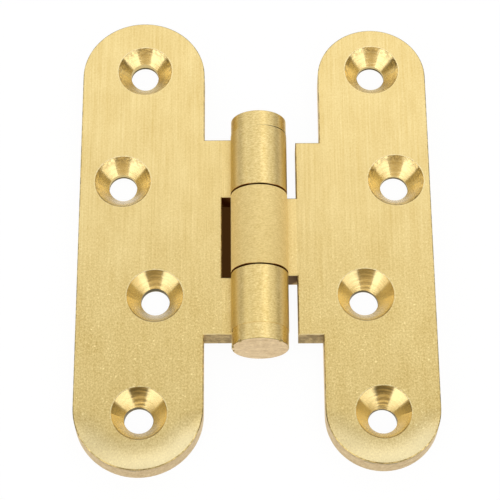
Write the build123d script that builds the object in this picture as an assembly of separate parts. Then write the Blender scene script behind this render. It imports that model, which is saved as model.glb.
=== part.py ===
from build123d import *
import os
from math import atan, cos, degrees, radians, sin, sqrt, tan

# Driving dimensions of an H hinge lying open and flat, in millimetres and degrees.
# The barrel runs along Y, the leaves lie along X and their backs are on Z = 0.

# Leaf plates: flat bars with fully round ends
plate_thickness = 3.1
straight_length = 47.5
left_width = 16.4
right_width = 14.5
edge_break = 0.12

# Barrel, and the webs that carry its knuckles
barrel_diameter = 7.4
left_web_width = 3.5
right_web_width = 4.4
left_web_length = 27.9
right_web_length = 27.5
middle_knuckle_length = 11.1
knuckle_gap = 0.2
knuckle_edge_break = 0.06
slot_clearance = 1.2

# The narrow leaf and its knuckle sit a little towards the lower cap
right_leaf_shift = -0.28

# Pin and end caps
pin_diameter = 4.0
pin_clearance = 0.05
pin_end_play = 0.1
pin_edge_break = 0.3
cap_length = 2.2
cap_step = 0.06
cap_edge_break = 0.05
top_cap_opening = 0.3
top_cap_opening_angle = 45.0
spigot_length = 3.0
spigot_clearance = 0.02

# Nicks in the lower cap, at its outer rim and at its seam: places round the axis, from +X towards +Z
rim_nick_angles = [43.0, 137.0, 172.0, 191.0]
seam_nick_angle = 166.0
nick_radius = 0.3

# Screw holes, drilled from each plate's centre line and from the middle of its leaf
screw_hole_diameter = 3.7
end_hole_past_straight = 1.0
outer_hole_offset = 2.63
outer_hole_y = 8.0
inner_hole_offset = -1.88
inner_hole_y = -8.5

# Countersinks, cut from the middle of the hinge and struck a little off the holes
countersink_angle = 78.0
left_sink_drift = -0.15
right_sink_drift = 0.05
end_sink_inset = 0.25
outer_sink_drift = 0.07
outer_sink_inset = 0.15
inner_sink_drift = 0.13
inner_sink_inset = -0.05
top_countersink_diameter = 7.25
outer_countersink_diameter = 7.4
inner_countersink_diameter = 7.3
bottom_countersink_diameter = 7.05

# How far a cutting tool runs past the surface that it opens, and how close two edges count as the same
overrun = 1.0
same_place = 0.001

# Sizes that follow from the driving dimensions
barrel_radius = barrel_diameter / 2
bore_radius = pin_diameter / 2 + pin_clearance
front_rise = plate_thickness - barrel_radius
front_joint_x = sqrt(barrel_radius**2 - front_rise**2)
slot_edge = barrel_radius + slot_clearance
left_inner_edge = barrel_radius + left_web_width
right_inner_edge = barrel_radius + right_web_width
left_reach = left_inner_edge + left_width
right_reach = right_inner_edge + right_width
barrel_x = (left_reach - right_reach) / 2
middle_top = right_leaf_shift + middle_knuckle_length / 2
middle_bottom = right_leaf_shift - middle_knuckle_length / 2
cap_radius = barrel_radius - cap_step
end_hole_y = straight_length / 2 + end_hole_past_straight
end_sink_y = end_hole_y - end_sink_inset
outer_sink_y = outer_hole_y - outer_sink_inset
inner_sink_y = inner_hole_y + inner_sink_inset

# Each screw of a leaf: its hole's offset from the centre line and place along the leaf,
# its countersink's drift outwards and place along the hinge, and the countersink's diameter
screw_rows = [
    (0, end_hole_y, 0, end_sink_y, top_countersink_diameter),
    (outer_hole_offset, outer_hole_y, outer_sink_drift, outer_sink_y, outer_countersink_diameter),
    (inner_hole_offset, inner_hole_y, inner_sink_drift, inner_sink_y, inner_countersink_diameter),
    (0, -end_hole_y, 0, -end_sink_y, bottom_countersink_diameter),
]


def on_barrel_axis(shape, y):
    """Lays a shape made along Z along the barrel axis, with its own origin at the given Y."""
    return Pos(0, y, barrel_radius) * Rot(-90, 0, 0) * shape


def bar_section(reach):
    """Section of the extruded bar: a flat web whose back runs into the barrel as a tangent."""
    bottom = (0, 0)
    crown = (0, barrel_diameter)
    joint = (front_joint_x, plate_thickness)
    front_end = (reach, plate_thickness)
    back_end = (reach, 0)
    outline = [
        Line(back_end, bottom),
        ThreePointArc(bottom, (-barrel_radius, barrel_radius), crown),
        ThreePointArc(crown, (barrel_radius, barrel_radius), joint),
        Line(joint, front_end),
        Line(front_end, back_end),
    ]
    return make_face(outline)


def bored_bar(reach, length, shift):
    """Length of the extruded bar, with the pin bore through its barrel."""
    bar = extrude(Plane.XZ.offset(-shift) * bar_section(reach), length / 2, both=True)
    return bar - on_barrel_axis(Cylinder(bore_radius, length + 2 * overrun), shift)


def round_ended_plate(centre_line, width, shift):
    """Flat bar with round ends."""
    outline = SlotCenterToCenter(straight_length, width)
    return extrude(Pos(centre_line, shift) * Rot(0, 0, 90) * outline, plate_thickness)


def notch(low, high):
    """Cutter that frees a stretch of the barrel for the other leaf's knuckle."""
    width = slot_edge + barrel_radius + overrun
    height = barrel_diameter + 2 * overrun
    block = Box(width, high - low, height, align=(Align.MAX, Align.MIN, Align.MIN))
    return Pos(slot_edge, low, -overrun) * block


def break_front_edges(body):
    """Takes the sharp edge off the front face all round, except where it runs into the barrel."""
    level = body.faces().filter_by(Axis.Z)
    front = [face for face in level if abs(face.center().Z - plate_thickness) < same_place]
    edges = max(front, key=lambda face: face.area).outer_wire().edges()
    return chamfer([edge for edge in edges if edge.center().X > front_joint_x + same_place], edge_break)


def break_knuckle_edges(body, ends):
    """Takes the sharp edge off the knuckles where they run against each other."""
    arcs = body.edges().filter_by(GeomType.CIRCLE)
    rims = [arc for arc in arcs if abs(arc.radius - barrel_radius) < same_place]
    running = [rim for rim in rims if min(abs(rim.center().Y - end) for end in ends) < same_place]
    return chamfer(running, knuckle_edge_break)


def drilled_hole():
    """Cutter for one screw hole, right through the plate."""
    height = plate_thickness + 2 * overrun
    base = (Align.CENTER, Align.CENTER, Align.MIN)
    return Pos(0, 0, -overrun) * Cylinder(screw_hole_diameter / 2, height, align=base)


def countersink(rim_diameter):
    """Cutter for one countersink: a pointed cone that opens to its rim at the plate's front."""
    slope = tan(radians(countersink_angle / 2))
    radius = rim_diameter / 2 + overrun * slope
    top = plate_thickness + overrun
    profile = Polyline((0, top - radius / slope), (radius, top), (0, top), close=True)
    return revolve(Plane.XZ * make_face(profile), Axis.Z)


def leaf(inner_edge, width, web_length, shift, notches, knuckle_ends, sink_drift):
    """One leaf, lying along +X from the barrel: plate, web, knuckles and screw holes."""
    centre_line = inner_edge + width / 2
    body = bored_bar(centre_line, web_length, shift)
    for low, high in notches:
        body -= notch(low, high)
    body += round_ended_plate(centre_line, width, shift)
    for offset, hole_y, drift, sink_y, rim_diameter in screw_rows:
        hole_x = centre_line + offset
        body -= Pos(hole_x + sink_drift + drift, sink_y) * countersink(rim_diameter)
        body -= Pos(hole_x, hole_y + shift) * drilled_hole()
    return break_knuckle_edges(break_front_edges(body), knuckle_ends)


def left_leaf():
    """Wide leaf, with a knuckle at each end of the barrel and a slot for the middle one."""
    low = middle_bottom - knuckle_gap
    high = middle_top + knuckle_gap
    notches = [(low, high)]
    ends = [low, high]
    plate = leaf(left_inner_edge, left_width, left_web_length, 0, notches, ends, left_sink_drift)
    return mirror(plate, Plane.YZ)


def right_leaf():
    """Narrow leaf, with the middle knuckle between two notches that are open at their ends."""
    web = right_web_length
    shift = right_leaf_shift
    past_top = shift + web / 2 + overrun
    past_bottom = shift - web / 2 - overrun
    notches = [(middle_top, past_top), (past_bottom, middle_bottom)]
    ends = [middle_bottom, middle_top]
    return leaf(right_inner_edge, right_width, web, shift, notches, ends, right_sink_drift)


def hinge_pin():
    """Plain pin, trapped between the spigots of the two caps."""
    length = left_web_length - 2 * spigot_length - 2 * pin_end_play
    pin = Cylinder(pin_diameter / 2, length)
    return on_barrel_axis(chamfer(pin.edges().filter_by(GeomType.CIRCLE), pin_edge_break), 0)


def cap_head():
    """Flat button along +Z, seated on Z = 0."""
    head = Cylinder(cap_radius, cap_length, align=(Align.CENTER, Align.CENTER, Align.MIN))
    outer_rim = head.edges().filter_by(GeomType.CIRCLE).sort_by(Axis.Z)[-1]
    return chamfer(outer_rim, cap_edge_break)


def spigot():
    """Spigot that holds a cap in the bore, reaching up into the cap's head."""
    length = spigot_length + cap_length / 2
    base = (Align.CENTER, Align.CENTER, Align.MIN)
    return Pos(0, 0, -spigot_length) * Cylinder(bore_radius - spigot_clearance, length, align=base)


def top_cap():
    """Cap on the upper end of the barrel, its seat a little askew and open towards the narrow leaf."""
    slope = degrees(atan(top_cap_opening / (2 * cap_radius)))
    block = Box(4 * cap_radius, 4 * cap_radius, cap_length, align=(Align.MIN, Align.CENTER, Align.MAX))
    head = cap_head() - Pos(-cap_radius, 0, 0) * Rot(0, -slope, 0) * block
    return on_barrel_axis(Rot(0, 0, top_cap_opening_angle) * (head + spigot()), left_web_length / 2)


def bottom_cap():
    """Cap on the lower end of the barrel, with nicks in its rim and seam."""
    seat = left_web_length / 2
    cap = mirror(on_barrel_axis(cap_head() + spigot(), seat), Plane.XZ)
    nicks = [(angle, seat + cap_length) for angle in rim_nick_angles]
    for angle, from_middle in [*nicks, (seam_nick_angle, seat)]:
        x = cap_radius * cos(radians(angle))
        z = barrel_radius + cap_radius * sin(radians(angle))
        cap -= Pos(x, -from_middle, z) * Sphere(nick_radius)
    return cap


nodes = {
    "left_leaf": left_leaf(),
    "right_leaf": right_leaf(),
    "hinge_pin": hinge_pin(),
    "top_cap": top_cap(),
    "bottom_cap": bottom_cap(),
}

os.makedirs("parts", exist_ok=True)
for name, shape in nodes.items():
    export_step(Pos(barrel_x, 0, 0) * shape, f"parts/{name}.step")
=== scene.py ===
from math import cos, radians, sin
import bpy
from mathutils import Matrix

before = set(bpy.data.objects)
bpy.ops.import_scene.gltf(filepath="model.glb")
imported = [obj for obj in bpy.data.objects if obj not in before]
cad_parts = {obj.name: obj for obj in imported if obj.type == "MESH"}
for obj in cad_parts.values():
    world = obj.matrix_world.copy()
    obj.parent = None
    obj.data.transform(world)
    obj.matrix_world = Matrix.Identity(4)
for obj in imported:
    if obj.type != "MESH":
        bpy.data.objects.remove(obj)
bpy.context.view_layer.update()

from types import SimpleNamespace

import bpy
from mathutils import Matrix, Vector

MM = 0.001

# Camera: the photograph's viewing angle, in degrees and millimetres, for a square image
image_size = 500
focal_pixels = 1924.09
sensor_width = 36.0
camera_azimuth = -0.3237
camera_elevation = 65.6166
camera_roll = -0.0448
camera_distance = 249.855
camera_target = (-0.723, -2.184, 3.1)
near_clip = 10.0

# Places on the hinge, in millimetres of the shared frame
barrel_axis_x = 0.5
barrel_axis_z = 3.7
barrel_radius = 3.7
plate_front_z = 3.1
straight_half = 23.75
slot_edge = 4.9
cap_seat = 13.95
knuckle_gaps = (5.37, -5.93)

# Countersinks of a leaf: how far out from its screw line, the place along the barrel and the radius
screw_rows = ((0.0, 24.5, 3.625), (2.7, 7.85, 3.70), (-1.75, -8.55, 3.65), (0.0, -24.5, 3.525))

# Directions along and across the barrel
along = (0.0, 1.0, 0.0)
sideways = (1.0, 0.0, 0.0)

# Each leaf: its screw line, the side it lies on and its plate, then what differs in its finish, its painted
# sheen on the knuckle flanks and painted shade on the slot walls
left_leaf = SimpleNamespace(
    screw_line=-14.75, side=-1.0, centre_line=-14.9, middle=0.0, half_width=8.2,
    knuckle_rough=0.40, knuckle_shade=0.97, knuckle_grain=2.6, knuckle_across=along,
    flank_painted_sheen=0.4, slot_painted_shade=0.45, strip_shade=1.04,
)
right_leaf = SimpleNamespace(
    screw_line=15.9, side=1.0, centre_line=15.85, middle=-0.28, half_width=7.25,
    knuckle_rough=0.50, knuckle_shade=1.075, knuckle_grain=1.6, knuckle_across=sideways,
    flank_painted_sheen=0.0, slot_painted_shade=0.11, strip_shade=1.09,
)

# Margins and limits that tell the faces of a leaf apart, in millimetres
barrel_margin = 0.03
rim_margin = 0.2
front_margin = 0.01
back_margin = 0.05
rim_depth = 0.5
rim_limits = (-0.13, 0.04)
rim_soft = 0.05
slot_reach = (9.0, 10.0)
web_reach = (14.6, 15.2)
slot_from_axis = (5.2, 5.8)
web_from_axis = (9.0, 10.0)
strip_soft = 0.03
crown_limits = (-0.8, 2.4)
crown_soft = 0.7
under_edge_z = (2.2, 2.8)
# Below this height the hole walls carry painted shade
hole_foot_z = (0.3, 0.5)

# The part of a face's normal that points up, aside, along the barrel or to the back
hole_facing_up = 0.3
wall_facing_up = 0.5
plate_facing_up = 0.9
flank_facing_side = (0.6, 0.85)
end_facing_along = (0.85, 0.95)
broken_facing_along = (0.4, 0.9)
broken_soft = 0.05
near_edge_facing_back = (-0.6, -0.3)
far_edge_facing_back = (0.3, 0.6)

# Where the finish changes along a leaf, from its centre line and in from its edge, in millimetres
upper_half_y = (-18.0, 8.0)
# Holes above this carry painted light on their walls, holes below it painted shade
upper_holes_y = (-4.0, 2.0)
coarse_rows_y = (0.0, 4.0)
top_row_y = (10.0, 20.0)
low_end_y = (-28.5, -24.0)
low_tip_y = (-30.5, -26.5)
worn_from_centre_line = (-8.0, 2.0)
worn_width = (0.6, 4.4)

# Where it changes in a countersink, up from its middle or in from its rim, in millimetres
low_side_y = (-2.2, -0.2)
coarse_rim_width = (0.1, 0.9)
# At the foot of the lower side a painted reflection; inside the lower rim painted shade; on the upper slope
# painted shade near the rim and painted light further in
pale_foot_width = (0.1, 1.3)
dark_rim_width = (0.1, 0.3)
bright_slope = (0.0, 0.9)
chatter_slope = (0.0, 1.6)

# The part of the way outwards from a countersink's middle that points to the back, where chatter begins
chatter_towards_back = (0.88, 0.96)

# Relief that only the shading has: millimetres, and slopes as rise over run.
# The hollow's depth is the one a millimetre away from the middle of the slope.
bump_depth = 0.01
wire_depth = 0.004
roll_width = 4.0
roll_slope = 0.24
mid_slope = 2.72
slope_lean = 0.139
hollow_depth = 0.04

# Grain sizes sideways, along and up, in millimetres
streak_size = (0.20, 9.0, 0.20)
speckle_size = (0.22, 0.26, 0.22)
mottle_size = (0.75, 0.9, 0.75)
fine_size = (0.34, 0.16, 0.34)
cloud_size = (3.0, 6.0, 3.0)
spark_size = (0.40, 0.34, 0.40)
coarse_size = (0.45, 0.45, 0.45)
saw_size = (2.4, 2.4, 0.3)
wire_size = (0.12, 8.0, 0.12)

# How fast the turning marks change on the way round a countersink, and per millimetre outwards
ring_change_round = 0.8
ring_change_outwards = 4.5

# Weight of each grain in the lightness of the brass. Pairs are for the lower and the upper half of a leaf.
streak_shares = (0.5, 1.1)
speckle_shares = (3.3, 1.3)
worn_speckle_share = 6.0
spark_shares = (0.8, 0.15)
worn_spark_share = 1.4
cloud_share = 0.6
wall_share = 1.8
ring_shares = (0.4, 0.8)
turned_speckle_share = 0.5
knuckle_mottle_share = 0.2
cap_mottle_share = 0.5
cap_fine_share = 2.6
end_saw_share = 0.9
end_mottle_share = 1.2
end_fine_share = 0.9

# Weight of each grain in the height of the surface, in depths of the bump
streak_heights = (0.4, 0.9)
speckle_heights = (1.4, 0.4)
ring_heights = (1.6, 2.4)
coarse_height = 2.5
mottle_height = 0.3
fine_height = 1.2

# Ranges of a grain over which a mark comes up
spark_range = (0.18, 0.27)
rim_line_range = (-0.12, 0.12)
under_edge_range = (-0.05, 0.12)
edge_range = (-0.1, 0.1)
web_wall_range = (-0.12, 0.12)
speck_range = (-0.15, 0.15)
chatter_range = (-0.12, 0.12)
wire_range = (-0.25, 0.25)

# How pale worn places are; the worn lower ends also carry a painted sheen, and the rims a painted highlight
worn_pale = 0.75
worn_tip = 0.6
worn_sides = (0.6, 1.0)
rim_highlight_pale = (0.6, 0.12)
# Pale of the painted reflection at the foot of the countersinks, and its share in the top row
foot_reflection_pale = 0.9
top_foot_share = 0.3

# How bright each kind of face is beside plain brass
face_shade = 0.91
under_edge_shade = 0.55
edge_shades = (0.45, 0.9)
# Painted highlight on the web's lower edges; painted shade on the walls by the web and on the far edges
web_edge_highlight = 1.05
web_wall_painted_shades = (0.47, 0.68)
far_edge_painted_shade = 0.3
# Painted light and painted shade on the hole walls; painted shade in the lower rims
hole_painted_shades = (0.85, 0.08)
lower_rim_painted_shade = 0.5
top_rim_share = 0.15
# Painted shade near the rim of the upper slopes and painted light further in
slope_painted_shades = (0.96, 1.05)
speck_shades = (0.72, 1.15)
chatter_shades = (0.6, 1.18)
# Painted shade towards the rim of the chattered lower countersinks
chatter_slope_painted_shades = (0.64, 1.0)
# Painted shade in the seams between the knuckles
knuckle_end_painted_shade = 0.35
seam_edge_painted_shade = 0.25
cap_side_shade = 0.97
cap_end_shade = 1.06
# Painted shade in the cap's dents and on its seat
dent_painted_shade = 0.4
seat_painted_shade = 0.06
wire_shades = (0.92, 1.08)

# Roughness of each kind of face, and how far the highlights of brass are drawn out
face_rough = 0.36
flank_rough = 0.55
wall_rough = 0.5
turned_rough = 0.22
coarse_rim_rough = 0.25
streak_rough = 0.12
cap_side_rough = 0.40
cap_end_rough = 0.5
wire_rough = (0.26, 0.36)
brushing = 0.9

# Caps and pin: how far the painted shade of a seat and the grime and painted shade of a gap reach, and
# which faces are an end or a dent
seat_reach = 0.4
gap_reach = (0.3, 0.9)
cap_end_facing_along = 0.9
dent_facing_along = (0.1, 0.2)

# Floor: its half width, its drop and the slot it is seen through, where its painted shadow lies, in
# millimetres, and how much it glows
floor_reach = 600.0
floor_drop = 0.01
slot_low = (-4.7, -6.2)
slot_high = (-2.6, 5.6)
slot_soft = 0.1
floor_glow = 0.95

# Studio tent: turns from the front and heights above the horizon in degrees, sides as parts of a direction
horizon_side = (-0.5, 0.5)
horizon_levels = (0.62, 0.46)
tent_height = (5.0, 46.0)
tent_level = 0.55
side_gap_turn = (81.5, 106.0)
side_gap_soft = 3.0
side_gap_top = (22.0, 36.0)
side_gap_side = (-0.3, 0.3)
side_gap_levels = (0.12, 0.2)
front_gap_turn = (22.0, 28.0)
front_gap_height = (15.0, 34.0)
front_gap_levels = (0.62, 1.6)
room_top = (30.0, 40.0)
back_turn = (112.0, 165.0)
back_top = (62.5, 69.5)
back_light = 0.78

# Soft patch in the sky: the direction to it, the angles off it at which it begins and is full, and light
patch_direction = (0.36, 0.41, 0.84)
patch_spread = (20.0, 4.0)
patch_light = 0.7

# Panels on both sides: limits and softness of the turn, then of the height, in degrees, and light
softbox = ((28.0, 77.5), 2.0, (-5.0, 45.0), 5.0, 1.25)
front_panel = ((16.0, 62.0), 8.0, (40.0, 64.0), 5.0, 1.4)
back_fill = ((110.0, 140.0), 6.0, (12.0, 46.0), 8.0, 0.42)

# Strip overhead: limits and softness as parts of the direction to it, and light
overhead_y = (-0.14, 0.16)
overhead_y_soft = 0.04
overhead_x = (-0.35, 0.5)
overhead_x_soft = 0.25
overhead_z = (0.2, 0.4)
overhead_light = 1.1

# Colours and tints, as linear red, green and blue
dark_brass = (0.66, 0.475, 0.165)
light_brass = (0.94, 0.765, 0.371)
dark_cut_brass = (0.60, 0.435, 0.24)
light_cut_brass = (0.92, 0.76, 0.52)
# Painted reflection of the floor at the foot of the countersinks
reflected_floor_brass = (0.97, 0.85, 0.64)
# Pale brass of worn ends, also used for the painted sheen and highlights
worn_brass = (0.98, 0.87, 0.56)
brass_edge_tint = (0.95, 0.89, 0.75)
low_tint = (0.995, 0.983, 0.93)
turned_tint = (0.95, 0.97, 1.06)
# Tints of the painted shade on the web walls, in the slot and the notches, and in the seams
web_wall_shade_tint = (1.0, 0.92, 0.68)
slot_shade_tint = (1.0, 0.5, 0.14)
seam_shade_tint = (1.0, 0.42, 0.08)
# Grime and painted shade at the gaps on the pin
gap_grime_and_shade_colour = (0.10, 0.055, 0.015)
steel_colour = (0.56, 0.55, 0.53)
floor_colour = (0.92, 0.92, 0.92)
# Painted shadow on the floor under the slot
painted_slot_shadow_colour = (0.050, 0.020, 0.0048)
room_colour = (1.0, 0.73, 0.29)
white = (1.0, 1.0, 1.0)


def add_node(tree, kind, **settings):
    """Adds a node and sets its properties."""
    node = tree.nodes.new(kind)
    for name, value in settings.items():
        setattr(node, name, value)
    return node


def feed(tree, socket, value):
    """Links an output to a socket, or sets a plain value on it."""
    if isinstance(value, bpy.types.NodeSocket):
        tree.links.new(value, socket)
    else:
        socket.default_value = value


def maths(tree, operation, *values):
    """One step of arithmetic on numbers."""
    node = add_node(tree, "ShaderNodeMath", operation=operation)
    for socket, value in zip(node.inputs, values):
        feed(tree, socket, value)
    return node.outputs[0]


def vector_maths(tree, operation, *values, output="Vector"):
    """One step of arithmetic on vectors."""
    node = add_node(tree, "ShaderNodeVectorMath", operation=operation)
    for socket, value in zip(node.inputs, values):
        feed(tree, socket, value)
    return node.outputs[output]


def length_of(tree, vector):
    """Length of a vector."""
    return vector_maths(tree, "LENGTH", vector, output="Value")


def scaled(tree, vector, factor):
    """A vector times a number."""
    node = add_node(tree, "ShaderNodeVectorMath", operation="SCALE")
    feed(tree, node.inputs[0], vector)
    feed(tree, node.inputs["Scale"], factor)
    return node.outputs["Vector"]


def split(tree, vector):
    """The three parts of a vector."""
    node = add_node(tree, "ShaderNodeSeparateXYZ")
    feed(tree, node.inputs[0], vector)
    return node.outputs


def joined(tree, x, y, z):
    """A vector from its three parts."""
    node = add_node(tree, "ShaderNodeCombineXYZ")
    for socket, value in zip(node.inputs, (x, y, z)):
        feed(tree, socket, value)
    return node.outputs[0]


def ramp(tree, value, low, high, to_low=0.0, to_high=1.0):
    """Takes a value from one range to another, smoothly and no further than its ends."""
    node = add_node(tree, "ShaderNodeMapRange", interpolation_type="SMOOTHSTEP")
    for socket, given in zip(node.inputs, (value, low, high, to_low, to_high)):
        feed(tree, socket, given)
    return node.outputs[0]


def fade(tree, value, low, high):
    """One below a range and nothing above it, smoothly."""
    return ramp(tree, value, low, high, 1.0, 0.0)


def product(tree, first, *others):
    """Numbers or masks multiplied together."""
    for value in others:
        first = maths(tree, "MULTIPLY", value, first)
    return first


def either(tree, first, *others):
    """Where any of the masks holds."""
    for mask in others:
        first = maths(tree, "MAXIMUM", first, mask)
    return first


def inverse(tree, mask):
    """The rest of a mask."""
    return maths(tree, "SUBTRACT", 1.0, mask)


def window(tree, value, low, high, soft):
    """One between two limits and nothing outside them, with soft edges."""
    rise = ramp(tree, value, low - soft, low + soft)
    return product(tree, rise, fade(tree, value, high - soft, high + soft))


def noise(tree, vector, detail=2.0, rough=0.55):
    """Noise of unit grain about nothing, at the given coordinates."""
    node = add_node(tree, "ShaderNodeTexNoise", noise_dimensions="3D")
    feed(tree, node.inputs["Vector"], vector)
    node.inputs["Scale"].default_value = 1.0
    node.inputs["Detail"].default_value = detail
    node.inputs["Roughness"].default_value = rough
    return maths(tree, "SUBTRACT", node.outputs[0], 0.5)


def grain(tree, place, size, **settings):
    """Noise about nothing whose grains measure the given millimetres along each axis."""
    per_mm = tuple(1 / length for length in size)
    return noise(tree, vector_maths(tree, "MULTIPLY", place, per_mm), **settings)


def mixed(tree, factor, first, second):
    """A number between two others."""
    node = add_node(tree, "ShaderNodeMix", data_type="FLOAT")
    feed(tree, node.inputs["Factor"], factor)
    feed(tree, node.inputs[2], first)
    feed(tree, node.inputs[3], second)
    return node.outputs[0]


def mixed_vector(tree, factor, first, second):
    """A vector between two others."""
    node = add_node(tree, "ShaderNodeMix", data_type="VECTOR")
    feed(tree, node.inputs["Factor"], factor)
    feed(tree, node.inputs[4], first)
    feed(tree, node.inputs[5], second)
    return node.outputs[1]


def mixed_colour(tree, factor, first, second):
    """A colour between two others, or a little past them."""
    node = add_node(tree, "ShaderNodeMix", data_type="RGBA", clamp_factor=False)
    feed(tree, node.inputs["Factor"], factor)
    for socket, colour in ((node.inputs[6], first), (node.inputs[7], second)):
        plain = not isinstance(colour, bpy.types.NodeSocket)
        feed(tree, socket, (*colour, 1.0) if plain else colour)
    return node.outputs[2]


def layered(tree, value, *layers):
    """A number that each layer replaces where its mask holds."""
    for mask, level in layers:
        value = mixed(tree, mask, value, level)
    return value


def summed(tree, *shares):
    """A level about one half: each share is a noise about nothing and its weight."""
    level = 0.5
    for value, weight in shares:
        level = maths(tree, "ADD", maths(tree, "MULTIPLY", value, weight), level)
    return level


def bump(tree, height, depth_mm):
    """Surface normal for a height given in depths of so many millimetres."""
    node = add_node(tree, "ShaderNodeBump")
    node.inputs["Strength"].default_value = 1.0
    node.inputs["Distance"].default_value = depth_mm * MM
    feed(tree, node.inputs["Height"], height)
    return node.outputs[0]


def world_direction(tree, vector):
    """Turns a direction on the piece into one in the world, so that it follows the piece's pose."""
    node = add_node(tree, "ShaderNodeVectorTransform", vector_type="VECTOR")
    node.convert_from = "OBJECT"
    node.convert_to = "WORLD"
    feed(tree, node.inputs[0], vector)
    return node.outputs[0]


def coordinates(tree):
    """Place in millimetres and normal on the piece, in the shared frame at rest."""
    node = add_node(tree, "ShaderNodeTexCoord")
    return scaled(tree, node.outputs["Object"], 1 / MM), node.outputs["Normal"]


def empty_material(name):
    """A material with no nodes, and its node tree."""
    material = bpy.data.materials.new(name)
    material.use_nodes = True
    material.node_tree.nodes.clear()
    return material, material.node_tree


def show_surface(tree, shader, kind="ShaderNodeOutputMaterial"):
    """Links a shader to the output of its tree."""
    output = add_node(tree, kind)
    tree.links.new(shader.outputs[0], output.inputs["Surface"])


def metal(name):
    """A plain metal material: its node tree and its shader."""
    material, tree = empty_material(name)
    shader = add_node(tree, "ShaderNodeBsdfPrincipled")
    shader.inputs["Metallic"].default_value = 1.0
    show_surface(tree, shader)
    return material, tree, shader


def barrel_distance(tree, place):
    """Distance from the barrel's axis."""
    across = vector_maths(tree, "SUBTRACT", place, (barrel_axis_x, 0.0, barrel_axis_z))
    return length_of(tree, vector_maths(tree, "MULTIPLY", across, (1.0, 0.0, 1.0)))


def edge_distance(tree, on, leaf):
    """Distance from the plate's rounded outline, inwards."""
    from_middle = maths(tree, "ABSOLUTE", maths(tree, "SUBTRACT", on.y, leaf.middle))
    past = maths(tree, "MAXIMUM", maths(tree, "SUBTRACT", from_middle, straight_half), 0.0)
    out = maths(tree, "SUBTRACT", on.x, leaf.centre_line)
    return maths(tree, "SUBTRACT", leaf.half_width, length_of(tree, joined(tree, out, past, 0.0)))


def countersinks(tree, on, leaf):
    """Masks of a leaf's countersinks and rims, the way in from the rim and the offset from the middle."""
    inside = 0.0
    depth = 0.0
    offset = (0.0, 0.0, 0.0)
    for out, y, radius in screw_rows:
        middle = (leaf.screw_line + leaf.side * out, y, 0.0)
        away = vector_maths(tree, "SUBTRACT", on.place, middle)
        flat = vector_maths(tree, "MULTIPLY", away, (1.0, 1.0, 0.0))
        distance = length_of(tree, flat)
        near = maths(tree, "LESS_THAN", distance, radius + rim_margin)
        inside = maths(tree, "ADD", near, inside)
        depth = maths(tree, "ADD", product(tree, near, maths(tree, "SUBTRACT", radius, distance)), depth)
        offset = vector_maths(tree, "ADD", scaled(tree, flat, near), offset)
    below_front = maths(tree, "LESS_THAN", on.z, plate_front_z - front_margin)
    above_back = maths(tree, "GREATER_THAN", on.z, back_margin)
    at_front = maths(tree, "GREATER_THAN", on.z, plate_front_z - rim_depth)
    rim = product(tree, inside, window(tree, depth, *rim_limits, rim_soft), at_front)
    return product(tree, inside, below_front, above_back), rim, depth, offset


def find_sinks(tree, leaf, on):
    """Masks of the countersinks and holes, and where a point lies in them."""
    sunk, on.rim, on.from_rim, offset = countersinks(tree, on, leaf)
    on.hole = product(tree, sunk, maths(tree, "LESS_THAN", on.facing_up, hole_facing_up))
    on.sink = product(tree, sunk, inverse(tree, on.hole))
    on.from_centre = length_of(tree, offset)
    on.outwards = vector_maths(tree, "NORMALIZE", offset)
    on.low_side = fade(tree, split(tree, offset)[1], *low_side_y)
    by_rim = fade(tree, on.from_rim, *coarse_rim_width)
    on.coarse_rim = product(tree, on.sink, ramp(tree, on.y, *coarse_rows_y), by_rim)


def find_barrel(tree, on):
    """Masks of the barrel, its flanks, the ends of its knuckles and their broken edges off the crown."""
    on.barrel = maths(tree, "LESS_THAN", on.from_axis, barrel_radius + barrel_margin)
    on.flank = product(tree, on.barrel, ramp(tree, on.facing_side, *flank_facing_side))
    on.knuckle_end = product(tree, on.barrel, ramp(tree, on.facing_along, *end_facing_along), on.by_slot)
    broken = window(tree, on.facing_along, *broken_facing_along, broken_soft)
    crown = window(tree, on.x, *crown_limits, crown_soft)
    on.seam_edge = product(tree, on.barrel, broken, on.by_slot, inverse(tree, crown))


def find_plate(tree, on):
    """Masks of the faces, walls and broken edges of the plate and the web."""
    flat = inverse(tree, either(tree, on.sink, on.hole, on.barrel))
    on.wall = product(tree, flat, maths(tree, "LESS_THAN", on.facing_up, wall_facing_up))
    on.face = product(tree, flat, maths(tree, "GREATER_THAN", on.facing_up, plate_facing_up))
    on.front = product(tree, on.face, maths(tree, "GREATER_THAN", on.z, plate_front_z / 2))
    on.edge = product(tree, flat, inverse(tree, on.wall), inverse(tree, on.face))
    on.web_edge = product(tree, on.edge, on.by_web, fade(tree, on.facing_back, *near_edge_facing_back))
    on.far_edge = product(tree, on.edge, ramp(tree, on.facing_back, *far_edge_facing_back))
    on.web_wall = product(tree, on.wall, fade(tree, on.from_axis, *web_from_axis), on.by_web)
    on.slot_wall = product(tree, on.wall, fade(tree, on.from_axis, *slot_from_axis), on.by_slot)
    on.strip = product(tree, on.face, window(tree, on.from_axis, barrel_radius, slot_edge, strip_soft))


def find_wear(tree, leaf, on):
    """Masks of the brushed upper half and of the lower end, worn and given a painted sheen."""
    on.upper = ramp(tree, on.y, *upper_half_y)
    on.from_edge = edge_distance(tree, on, leaf)
    from_centre_line = maths(tree, "SUBTRACT", on.x, leaf.centre_line)
    # Worn lower ends with a painted sheen, stronger on one side
    sides = ramp(tree, from_centre_line, *worn_from_centre_line, *worn_sides)
    on.worn_end = product(tree, fade(tree, on.y, *low_end_y), sides)
    by_edge = product(tree, fade(tree, on.from_edge, *worn_width), on.worn_end)
    tip = product(tree, fade(tree, on.y, *low_tip_y), worn_tip)
    on.worn = product(tree, either(tree, by_edge, tip), on.front)


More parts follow.
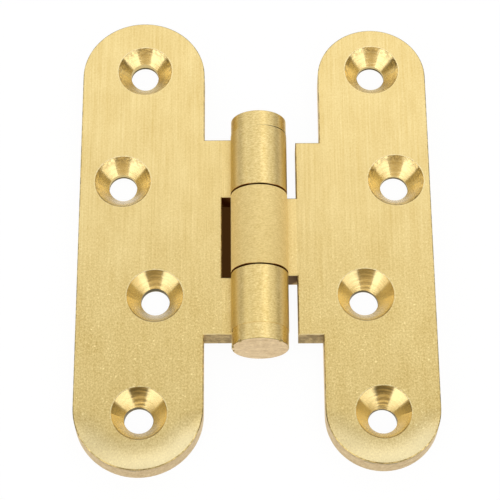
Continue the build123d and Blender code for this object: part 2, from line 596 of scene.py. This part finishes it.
def leaf_places(tree, leaf):
    """Where a point of a leaf lies and which way it faces, with a mask for each kind of face."""
    on = SimpleNamespace()
    on.place, normal = coordinates(tree)
    on.x, on.y, on.z = split(tree, on.place)
    facing_side, on.facing_back, facing_up = split(tree, normal)
    on.facing_side = maths(tree, "ABSOLUTE", facing_side)
    on.facing_along = maths(tree, "ABSOLUTE", on.facing_back)
    on.facing_up = maths(tree, "ABSOLUTE", facing_up)
    on.from_axis = barrel_distance(tree, on.place)
    from_middle = maths(tree, "ABSOLUTE", on.y)
    on.by_slot = fade(tree, from_middle, *slot_reach)
    on.by_web = fade(tree, from_middle, *web_reach)
    find_sinks(tree, leaf, on)
    find_barrel(tree, on)
    find_plate(tree, on)
    find_wear(tree, leaf, on)
    return on


def barrel_grains(tree, place):
    """Mottling and fine grain of the barrel."""
    mottle = grain(tree, place, mottle_size, detail=3.0, rough=0.6)
    fine = grain(tree, place, fine_size, detail=3.0, rough=0.7)
    return mottle, fine


def turning_marks(tree, on):
    """Marks that a cutter left in a countersink, running round its middle."""
    round_middle = scaled(tree, on.outwards, ring_change_round)
    out = joined(tree, 0.0, 0.0, maths(tree, "MULTIPLY", on.from_centre, ring_change_outwards))
    return noise(tree, vector_maths(tree, "ADD", round_middle, out), detail=3.0, rough=0.65)


def leaf_marks(tree, on):
    """Marks on a leaf: noises about nothing, and sparks from nothing to one."""
    marks = SimpleNamespace()
    marks.mottle, marks.fine = barrel_grains(tree, on.place)
    marks.streaks = grain(tree, on.place, streak_size, detail=3.0, rough=0.6)
    marks.speckle = grain(tree, on.place, speckle_size, detail=4.0, rough=0.75)
    marks.cloud = grain(tree, on.place, cloud_size, detail=3.0)
    marks.coarse = grain(tree, on.place, coarse_size, detail=1.0)
    marks.sparks = ramp(tree, grain(tree, on.place, spark_size, detail=1.0), *spark_range)
    marks.rings = turning_marks(tree, on)
    return marks


def leaf_level(tree, leaf, on, marks):
    """How light the brass is: brushed above, speckled below, mottled on the barrel, turned in the sinks."""
    low_speckle, high_speckle = speckle_shares
    low_spark, high_spark = spark_shares
    worn_speckle = mixed(tree, on.worn, low_speckle, worn_speckle_share)
    worn_spark = mixed(tree, on.worn, low_spark, worn_spark_share)
    streak_share = mixed(tree, on.upper, *streak_shares)
    speckle_share = mixed(tree, on.upper, worn_speckle, high_speckle)
    spark_share = mixed(tree, on.upper, worn_spark, high_spark)
    ring_share = mixed(tree, on.upper, *ring_shares)
    brushed = ((marks.streaks, streak_share), (marks.speckle, speckle_share))
    flat = summed(tree, *brushed, (marks.cloud, cloud_share), (marks.sparks, spark_share))
    mottle_share = leaf.knuckle_grain * knuckle_mottle_share
    barrel = summed(tree, (marks.mottle, mottle_share), (marks.fine, leaf.knuckle_grain))
    wall = summed(tree, (marks.mottle, wall_share), (marks.speckle, wall_share))
    turned = summed(tree, (marks.rings, ring_share), (marks.speckle, turned_speckle_share))
    return layered(tree, flat, (on.barrel, barrel), (on.wall, wall), (on.sink, turned))


def leaf_colour(tree, leaf, on, marks):
    """Colour of the brass, paler on worn ends with a painted sheen, with painted highlights on rims, flanks
    and web edges and a painted reflection at the foot of the countersinks.
    """
    level = leaf_level(tree, leaf, on, marks)
    colour = mixed_colour(tree, level, dark_brass, light_brass)
    cut_colour = mixed_colour(tree, level, dark_cut_brass, light_cut_brass)
    colour = mixed_colour(tree, on.wall, colour, cut_colour)
    # Painted highlights on the rims, the left knuckles' flanks and the web's edges, and painted sheen on
    # the worn ends
    rim_share = mixed(tree, on.low_side, *rim_highlight_pale)
    painted_rim_highlight = product(tree, on.rim, on.face, rim_share, ramp(tree, marks.fine, *rim_line_range))
    worn = product(tree, on.worn, worn_pale)
    flank = product(tree, on.flank, leaf.flank_painted_sheen)
    pale = either(tree, worn, painted_rim_highlight, flank, on.web_edge)
    colour = mixed_colour(tree, pale, colour, worn_brass)
    # Painted reflection of the floor at the foot of the countersinks' lower side
    foot = ramp(tree, on.from_rim, *pale_foot_width, 0.0, foot_reflection_pale)
    in_top_row = ramp(tree, on.y, *top_row_y, 1.0, top_foot_share)
    painted_floor_reflection = product(tree, on.sink, on.low_side, foot, in_top_row)
    return mixed_colour(tree, painted_floor_reflection, colour, reflected_floor_brass)


def leaf_tint(tree, on):
    """Tint of the brass in its lower half and in the countersinks, and the tint of the painted shade on the
    inner walls and in the seams.
    """
    # Browner tints for the painted shade in the seams and on the walls by the web and the slot
    seam = either(tree, on.knuckle_end, on.seam_edge)
    tints = ((on.sink, turned_tint), (on.web_wall, web_wall_shade_tint), (on.slot_wall, slot_shade_tint), (seam, seam_shade_tint))
    tint = mixed_vector(tree, on.upper, low_tint, white)
    for mask, colour in tints:
        tint = mixed_vector(tree, mask, tint, colour)
    return tint


def leaf_shade(tree, leaf, on, marks):
    """How bright each kind of face is: painted shade by the web, in the slot, on far edges, in holes, lower
    rims and seams, and painted light on upper holes, slopes and web edges.
    """
    mottled = ramp(tree, marks.mottle, *under_edge_range)
    under_edge = product(tree, on.wall, ramp(tree, on.z, *under_edge_z), mottled)
    # Painted shade at the foot of the hole walls and in the lower holes, painted light above
    painted_hole_shade = either(tree, fade(tree, on.z, *hole_foot_z), fade(tree, on.y, *upper_holes_y))
    in_top_row = ramp(tree, on.y, *top_row_y, 1.0, top_rim_share)
    # Painted shade inside the lower rims; painted shade and light on the upper slopes
    by_rim = fade(tree, on.from_rim, *dark_rim_width)
    lower_rim = product(tree, on.sink, on.low_side, by_rim, in_top_row)
    upper_slope = product(tree, on.sink, inverse(tree, on.low_side))
    knuckle_side = product(tree, on.barrel, inverse(tree, on.knuckle_end))
    return layered(
        tree, 1.0,
        (on.face, face_shade),
        (under_edge, under_edge_shade),
        (on.edge, ramp(tree, marks.mottle, *edge_range, *edge_shades)),
        # Painted highlight on the web's edges; painted shade by the web, in the slot and on the far edges
        (on.web_edge, web_edge_highlight),
        (on.web_wall, ramp(tree, marks.mottle, *web_wall_range, *web_wall_painted_shades)),
        (on.slot_wall, leaf.slot_painted_shade),
        (on.far_edge, far_edge_painted_shade),
        (on.hole, mixed(tree, painted_hole_shade, *hole_painted_shades)),
        (lower_rim, lower_rim_painted_shade),
        (upper_slope, ramp(tree, on.from_rim, *bright_slope, *slope_painted_shades)),
        # Painted shade in the seams between the knuckles
        (on.knuckle_end, knuckle_end_painted_shade),
        (knuckle_side, leaf.knuckle_shade),
        (on.seam_edge, seam_edge_painted_shade),
    )


def marked_shade(tree, leaf, on, marks):
    """The shade with specks on upper rims, chatter in lower sinks with painted shade towards their rim, and
    a lighter strip by the barrel.
    """
    shade = leaf_shade(tree, leaf, on, marks)
    specks = ramp(tree, marks.coarse, *speck_range, *speck_shades)
    far_side = ramp(tree, split(tree, on.outwards)[1], *chatter_towards_back)
    chattered = product(tree, on.sink, far_side, inverse(tree, on.upper))
    ring_shade = ramp(tree, marks.rings, *chatter_range, *chatter_shades)
    # Painted shade towards the rim in the chattered part of the lower countersinks
    chatter = product(tree, ring_shade, ramp(tree, on.from_rim, *chatter_slope, *chatter_slope_painted_shades))
    for mask, factor in ((on.coarse_rim, specks), (chattered, chatter), (on.strip, leaf.strip_shade)):
        shade = product(tree, shade, mixed(tree, mask, 1.0, factor))
    return shade


def leaf_roughness(tree, leaf, on, marks):
    """Roughness of the brass, uneven along the brush lines."""
    flank = product(tree, on.flank, inverse(tree, on.knuckle_end))
    rough = layered(
        tree, face_rough,
        (on.barrel, leaf.knuckle_rough),
        (flank, flank_rough),
        (on.wall, wall_rough),
        (on.sink, turned_rough),
        (on.coarse_rim, coarse_rim_rough),
    )
    return maths(tree, "ADD", rough, product(tree, marks.streaks, streak_rough))


def barrel_height(tree, mottle, fine):
    """Height of the grain on the barrel."""
    return summed(tree, (mottle, mottle_height), (fine, fine_height))


def face_height(tree, on, marks):
    """Height of the plate's faces: brush lines, grain and rolled lower ends."""
    streak_share = mixed(tree, on.upper, *streak_heights)
    speckle_share = mixed(tree, on.upper, *speckle_heights)
    height = summed(tree, (marks.streaks, streak_share), (marks.speckle, speckle_share))
    inwards = maths(tree, "MAXIMUM", maths(tree, "SUBTRACT", roll_width, on.from_edge), 0.0)
    curve = -roll_slope / (2 * roll_width) / bump_depth
    roll = product(tree, inwards, inwards, on.worn_end, curve, on.front)
    return maths(tree, "ADD", height, roll)


def sink_height(tree, on, marks):
    """Height of a countersink's slope: leaned and hollow, with turning marks and a coarse rim."""
    from_mid_slope = maths(tree, "SUBTRACT", on.from_centre, mid_slope)
    hollow = product(tree, from_mid_slope, from_mid_slope, hollow_depth / bump_depth)
    lean = product(tree, from_mid_slope, slope_lean / bump_depth)
    rings = product(tree, marks.rings, mixed(tree, on.upper, *ring_heights))
    height = maths(tree, "ADD", rings, maths(tree, "SUBTRACT", hollow, lean))
    return maths(tree, "ADD", height, product(tree, marks.coarse, on.coarse_rim, coarse_height))


def brass_finish(tree, shader, colour, rough, height, across):
    """Sets up brass from its colour, roughness, height and the direction that draws its highlights out."""
    feed(tree, shader.inputs["Base Color"], colour)
    feed(tree, shader.inputs["Roughness"], rough)
    feed(tree, shader.inputs["Normal"], bump(tree, height, bump_depth))
    feed(tree, shader.inputs["Tangent"], world_direction(tree, across))
    shader.inputs["Specular Tint"].default_value = (*brass_edge_tint, 1.0)
    shader.inputs["Anisotropic"].default_value = brushing


def leaf_brass(name, leaf):
    """Satin brass: faces brushed lengthwise, turned countersinks, mottled knuckles and dull walls."""
    material, tree, shader = metal(name)
    on = leaf_places(tree, leaf)
    marks = leaf_marks(tree, on)
    colour = vector_maths(tree, "MULTIPLY", leaf_colour(tree, leaf, on, marks), leaf_tint(tree, on))
    colour = scaled(tree, colour, marked_shade(tree, leaf, on, marks))
    rough = leaf_roughness(tree, leaf, on, marks)
    on_barrel = barrel_height(tree, marks.mottle, marks.fine)
    in_sink = sink_height(tree, on, marks)
    height = layered(tree, face_height(tree, on, marks), (on.barrel, on_barrel), (on.sink, in_sink))
    across = mixed_vector(tree, on.barrel, sideways, leaf.knuckle_across)
    across = mixed_vector(tree, on.sink, across, on.outwards)
    brass_finish(tree, shader, colour, rough, height, across)
    return material


def cap_brass():
    """Brass cap: mottled side like the knuckles, a paler sawn end, and painted shade on its seat and in its
    dents.
    """
    material, tree, shader = metal("cap_brass")
    place, normal = coordinates(tree)
    from_middle = maths(tree, "ABSOLUTE", split(tree, place)[1])
    facing_along = maths(tree, "ABSOLUTE", split(tree, normal)[1])
    seat = maths(tree, "LESS_THAN", from_middle, cap_seat + seat_reach)
    level_end = maths(tree, "GREATER_THAN", facing_along, cap_end_facing_along)
    end = product(tree, level_end, inverse(tree, seat))
    dented = product(tree, ramp(tree, facing_along, *dent_facing_along), inverse(tree, end))
    mottle, fine = barrel_grains(tree, place)
    saw = grain(tree, place, saw_size)
    side_level = summed(tree, (mottle, cap_mottle_share), (fine, cap_fine_share))
    side_colour = mixed_colour(tree, side_level, dark_brass, light_brass)
    end_level = summed(tree, (saw, end_saw_share), (mottle, end_mottle_share), (fine, end_fine_share))
    end_colour = mixed_colour(tree, end_level, dark_cut_brass, light_cut_brass)
    colour = mixed_colour(tree, end, side_colour, end_colour)
    # Painted shade on the seat and in the dents
    seat_and_dent_shade = mixed(tree, seat, dent_painted_shade, seat_painted_shade)
    shade = layered(tree, cap_side_shade, (end, cap_end_shade), (dented, seat_and_dent_shade))
    rough = mixed(tree, end, cap_side_rough, cap_end_rough)
    height = barrel_height(tree, mottle, fine)
    brass_finish(tree, shader, scaled(tree, colour, shade), rough, height, along)
    return material


def pin_steel():
    """Drawn steel wire, with faint lines along it, darker at the gaps between the knuckles with grime and
    painted shade.
    """
    material, tree, shader = metal("pin_steel")
    place = coordinates(tree)[0]
    y = split(tree, place)[1]
    lines = grain(tree, place, wire_size, detail=3.0)
    steel = scaled(tree, steel_colour, ramp(tree, lines, *wire_range, *wire_shades))
    # Darker at the gaps between the knuckles: grime and painted shade
    from_gaps = [maths(tree, "ABSOLUTE", maths(tree, "SUBTRACT", y, gap)) for gap in knuckle_gaps]
    gap_grime_and_shade = fade(tree, maths(tree, "MINIMUM", *from_gaps), *gap_reach)
    feed(tree, shader.inputs["Base Color"], mixed_colour(tree, gap_grime_and_shade, steel, gap_grime_and_shade_colour))
    feed(tree, shader.inputs["Roughness"], ramp(tree, lines, *wire_range, *wire_rough))
    feed(tree, shader.inputs["Normal"], bump(tree, lines, wire_depth))
    return material


def floor_white():
    """Matt floor, white to the camera and in the metal, with a painted shadow straight under the slot."""
    material, tree = empty_material("floor")
    place = scaled(tree, add_node(tree, "ShaderNodeTexCoord").outputs["Object"], 1 / MM)
    x, y = split(tree, place)[:2]
    # Painted shadow straight under the slot
    slot_x = window(tree, x, slot_low[0], slot_high[0], slot_soft)
    slot_y = window(tree, y, slot_low[1], slot_high[1], slot_soft)
    painted_slot_shadow = product(tree, slot_x, slot_y)
    matt = add_node(tree, "ShaderNodeBsdfDiffuse")
    feed(tree, matt.inputs["Color"], mixed_colour(tree, painted_slot_shadow, floor_colour, painted_slot_shadow_colour))
    glow = add_node(tree, "ShaderNodeEmission")
    feed(tree, glow.inputs["Color"], mixed_colour(tree, painted_slot_shadow, white, painted_slot_shadow_colour))
    rays = add_node(tree, "ShaderNodeLightPath").outputs
    seen = either(tree, rays["Is Camera Ray"], rays["Is Glossy Ray"], rays["Is Transmission Ray"])
    blend = add_node(tree, "ShaderNodeMixShader")
    feed(tree, blend.inputs[0], product(tree, seen, floor_glow))
    tree.links.new(matt.outputs[0], blend.inputs[1])
    tree.links.new(glow.outputs[0], blend.inputs[2])
    show_surface(tree, blend)
    return material


def floor():
    """Wide flat floor just under the hinge, with the hinge's shadow on it."""
    reach = floor_reach * MM
    drop = floor_drop * MM
    outline = ((-reach, -reach), (reach, -reach), (reach, reach), (-reach, reach))
    corners = [(x, y, -drop) for x, y in outline]
    mesh = bpy.data.meshes.new("floor")
    mesh.from_pydata(corners, [], [(0, 1, 2, 3)])
    mesh.materials.append(floor_white())
    plane = bpy.data.objects.new("floor", mesh)
    bpy.context.scene.collection.objects.link(plane)


def angle_ramp(tree, angle, limits, levels=(0.0, 1.0)):
    """A ramp between two angles, given in degrees."""
    low, high = limits
    return ramp(tree, angle, radians(low), radians(high), *levels)


def angle_fade(tree, angle, limits):
    """One below a range of angles in degrees and nothing above it."""
    return angle_ramp(tree, angle, limits, (1.0, 0.0))


def angle_window(tree, angle, limits, soft):
    """A window between two angles, given in degrees."""
    low, high = limits
    return window(tree, angle, radians(low), radians(high), radians(soft))


def sky_places(tree):
    """Where a direction of the sky lies: its parts, its turn from the front, its height and the gaps."""
    sky = SimpleNamespace()
    sky.direction = add_node(tree, "ShaderNodeTexCoord").outputs["Generated"]
    sky.x, sky.y, sky.z = split(tree, sky.direction)
    forwards = maths(tree, "MULTIPLY", sky.y, -1.0)
    sky.turn = maths(tree, "ABSOLUTE", maths(tree, "ARCTAN2", sky.x, forwards))
    sky.height = maths(tree, "ARCSINE", sky.z)
    sky.front_gap = angle_fade(tree, sky.turn, front_gap_turn)
    sky.side_gap = angle_window(tree, sky.turn, side_gap_turn, side_gap_soft)
    return sky


def tent_light(tree, sky):
    """Light of the tent, with its gaps at the sides and in front, and of the sky at the back."""
    horizon = ramp(tree, sky.x, *horizon_side, *horizon_levels)
    level = angle_ramp(tree, sky.height, tent_height, (horizon, tent_level))
    low_gap = product(tree, sky.side_gap, angle_fade(tree, sky.height, side_gap_top))
    side_level = ramp(tree, sky.x, *side_gap_side, *side_gap_levels)
    front_level = angle_ramp(tree, sky.height, front_gap_height, front_gap_levels)
    for gap, gap_level in ((low_gap, side_level), (sky.front_gap, front_level)):
        level = product(tree, level, mixed(tree, gap, 1.0, gap_level))
    back = angle_ramp(tree, sky.turn, back_turn)
    low_sky = angle_fade(tree, sky.height, back_top)
    return maths(tree, "ADD", level, product(tree, back, low_sky, back_light))


def panel_lights(tree, sky):
    """Light of each panel: a soft patch in the sky, the panels on both sides and the strip overhead."""
    wide, narrow = patch_spread
    towards_patch = vector_maths(tree, "DOT_PRODUCT", sky.direction, patch_direction, output="Value")
    patch = ramp(tree, towards_patch, cos(radians(wide)), cos(radians(narrow)))
    lights = [product(tree, patch, patch_light)]
    for turns, turn_soft, heights, height_soft, light in (softbox, front_panel, back_fill):
        round_front = angle_window(tree, sky.turn, turns, turn_soft)
        upwards = angle_window(tree, sky.height, heights, height_soft)
        lights.append(product(tree, round_front, upwards, light))
    depth = window(tree, sky.y, *overhead_y, overhead_y_soft)
    width = window(tree, sky.x, *overhead_x, overhead_x_soft)
    lights.append(product(tree, depth, width, ramp(tree, sky.z, *overhead_z), overhead_light))
    return lights


def studio_light():
    """Soft studio light: a pale tent with panels in it, and a warm room seen low down in its gaps."""
    world = bpy.data.worlds.new("studio")
    bpy.context.scene.world = world
    world.use_nodes = True
    tree = world.node_tree
    tree.nodes.clear()
    sky = sky_places(tree)
    level = tent_light(tree, sky)
    for panel_light in panel_lights(tree, sky):
        level = maths(tree, "ADD", level, panel_light)
    low_room = angle_fade(tree, sky.height, room_top)
    room = product(tree, either(tree, sky.front_gap, sky.side_gap), low_room)
    light = add_node(tree, "ShaderNodeBackground")
    feed(tree, light.inputs["Color"], mixed_colour(tree, room, white, room_colour))
    feed(tree, light.inputs["Strength"], level)
    show_surface(tree, light, "ShaderNodeOutputWorld")


def camera():
    """Camera at the photograph's viewing angle."""
    azimuth = radians(camera_azimuth)
    elevation = radians(camera_elevation)
    roll = radians(camera_roll)
    back = Vector((sin(azimuth) * cos(elevation), -cos(azimuth) * cos(elevation), sin(elevation)))
    level = Vector((cos(azimuth), sin(azimuth), 0.0))
    upward = back.cross(level)
    right = cos(roll) * level + sin(roll) * upward
    up = cos(roll) * upward - sin(roll) * level
    eye = (Vector(camera_target) + back * camera_distance) * MM
    data = bpy.data.cameras.new("camera")
    data.sensor_width = sensor_width
    data.lens = focal_pixels / image_size * sensor_width
    data.clip_start = near_clip * MM
    rig = bpy.data.objects.new("camera", data)
    turn = Matrix((right, up, back)).transposed()
    rig.matrix_world = Matrix.Translation(eye) @ turn.to_4x4()
    bpy.context.scene.collection.objects.link(rig)
    bpy.context.scene.camera = rig


def dress(node, material):
    """Gives a node of the frame its finish."""
    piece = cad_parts[node]
    piece.data.materials.clear()
    piece.data.materials.append(material)


dress("left_leaf", leaf_brass("left_leaf_brass", left_leaf))
dress("right_leaf", leaf_brass("right_leaf_brass", right_leaf))
caps = cap_brass()
dress("top_cap", caps)
dress("bottom_cap", caps)
dress("hinge_pin", pin_steel())
floor()
studio_light()
camera()
bpy.context.scene.view_settings.view_transform = "Standard"
